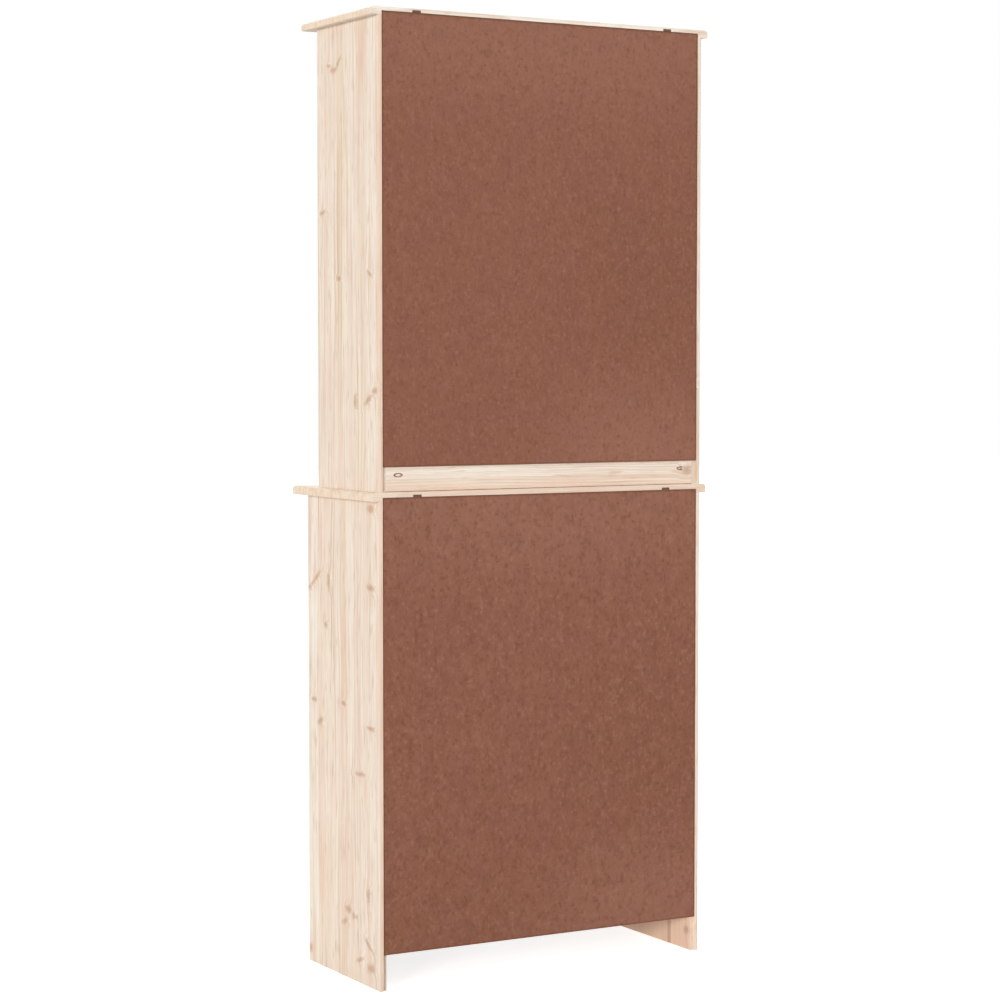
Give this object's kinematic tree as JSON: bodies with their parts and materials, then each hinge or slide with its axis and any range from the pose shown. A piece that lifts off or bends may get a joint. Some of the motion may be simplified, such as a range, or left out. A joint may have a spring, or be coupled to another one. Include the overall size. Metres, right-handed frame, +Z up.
{
  "type": "highboard",
  "caption": "Free-standing pine highboard: a deep lower cabinet with a drawer and hinged doors carries a shallower upper cabinet with tall framed doors and shelves; hardboard backs.",
  "frame": {"origin": "on the floor, below the middle of the bounding box", "axes": "+Z up, the doors face -Y, +X to the right when facing the doors"},
  "size_m": [0.756, 0.3596, 1.865],
  "materials": {
    "pine": "untreated, sanded",
    "hardboard": "raw brown hardboard",
    "zinc_steel": "zinc plated",
    "bronzed_steel": "bronzed",
    "brown_plastic": "moulded"
  },
  "bodies": {
    "carcass": {"lower_left_side": "pine", "lower_right_side": "pine", "lower_bottom": "pine", "drawer_deck": "pine", "lower_top": "pine", "plinth_rail": "pine", "lower_back_panel": "hardboard", "upper_left_side": "pine", "upper_right_side": "pine", "upper_bottom": "pine", "upper_top": "pine", "upper_front_rail": "pine", "upper_back_rail": "pine", "upper_back_panel": "hardboard", "shelf_pins": "zinc_steel", "back_panel_wedges": "brown_plastic", "back_panel_nails": "bronzed_steel", "carcass_dowels": "pine", "carcass_screws": "zinc_steel", "hinge_frame_leaves": "zinc_steel", "hinge_pins": "zinc_steel", "magnetic_catches": "brown_plastic", "drawer_runners": "pine", "upper_shelf_1": "pine", "upper_shelf_2": "pine", "lower_shelf_1": "pine"},
    "upper_left_door": {"upper_left_door_hinge_stile": "pine", "upper_left_door_lock_stile": "pine", "upper_left_door_top_rail": "pine", "upper_left_door_bottom_rail": "pine", "upper_left_door_panel": "pine", "upper_left_door_knob": "pine", "upper_left_door_fittings": "zinc_steel"},
    "upper_right_door": {"upper_right_door_hinge_stile": "pine", "upper_right_door_lock_stile": "pine", "upper_right_door_top_rail": "pine", "upper_right_door_bottom_rail": "pine", "upper_right_door_panel": "pine", "upper_right_door_knob": "pine", "upper_right_door_fittings": "zinc_steel"},
    "lower_left_door": {"lower_left_door_hinge_stile": "pine", "lower_left_door_lock_stile": "pine", "lower_left_door_top_rail": "pine", "lower_left_door_bottom_rail": "pine", "lower_left_door_panel": "pine", "lower_left_door_knob": "pine", "lower_left_door_fittings": "zinc_steel"},
    "lower_right_door": {"lower_right_door_hinge_stile": "pine", "lower_right_door_lock_stile": "pine", "lower_right_door_top_rail": "pine", "lower_right_door_bottom_rail": "pine", "lower_right_door_panel": "pine", "lower_right_door_knob": "pine", "lower_right_door_fittings": "zinc_steel"},
    "drawer": {"drawer_front": "pine", "drawer_left_side": "pine", "drawer_right_side": "pine", "drawer_back": "pine", "drawer_bottom": "hardboard", "drawer_knobs": "pine"}
  },
  "joints": [
    {"name": "upper_left_door_hinge", "type": "hinge", "parent": "carcass", "child": "upper_left_door", "pos_m": [-0.3569, -0.0876, 0], "axis": [0, 0, -1], "range_deg": [0, 120]},
    {"name": "upper_right_door_hinge", "type": "hinge", "parent": "carcass", "child": "upper_right_door", "pos_m": [0.3569, -0.0876, 0], "axis": [0, 0, 1], "range_deg": [0, 120]},
    {"name": "lower_left_door_hinge", "type": "hinge", "parent": "carcass", "child": "lower_left_door", "pos_m": [-0.3569, -0.1376, 0], "axis": [0, 0, -1], "range_deg": [0, 120]},
    {"name": "lower_right_door_hinge", "type": "hinge", "parent": "carcass", "child": "lower_right_door", "pos_m": [0.3569, -0.1376, 0], "axis": [0, 0, 1], "range_deg": [0, 120]},
    {"name": "drawer_slide", "type": "slide", "parent": "carcass", "child": "drawer", "axis": [0, -1, 0], "range_m": [0, 0.2]}
  ]
}
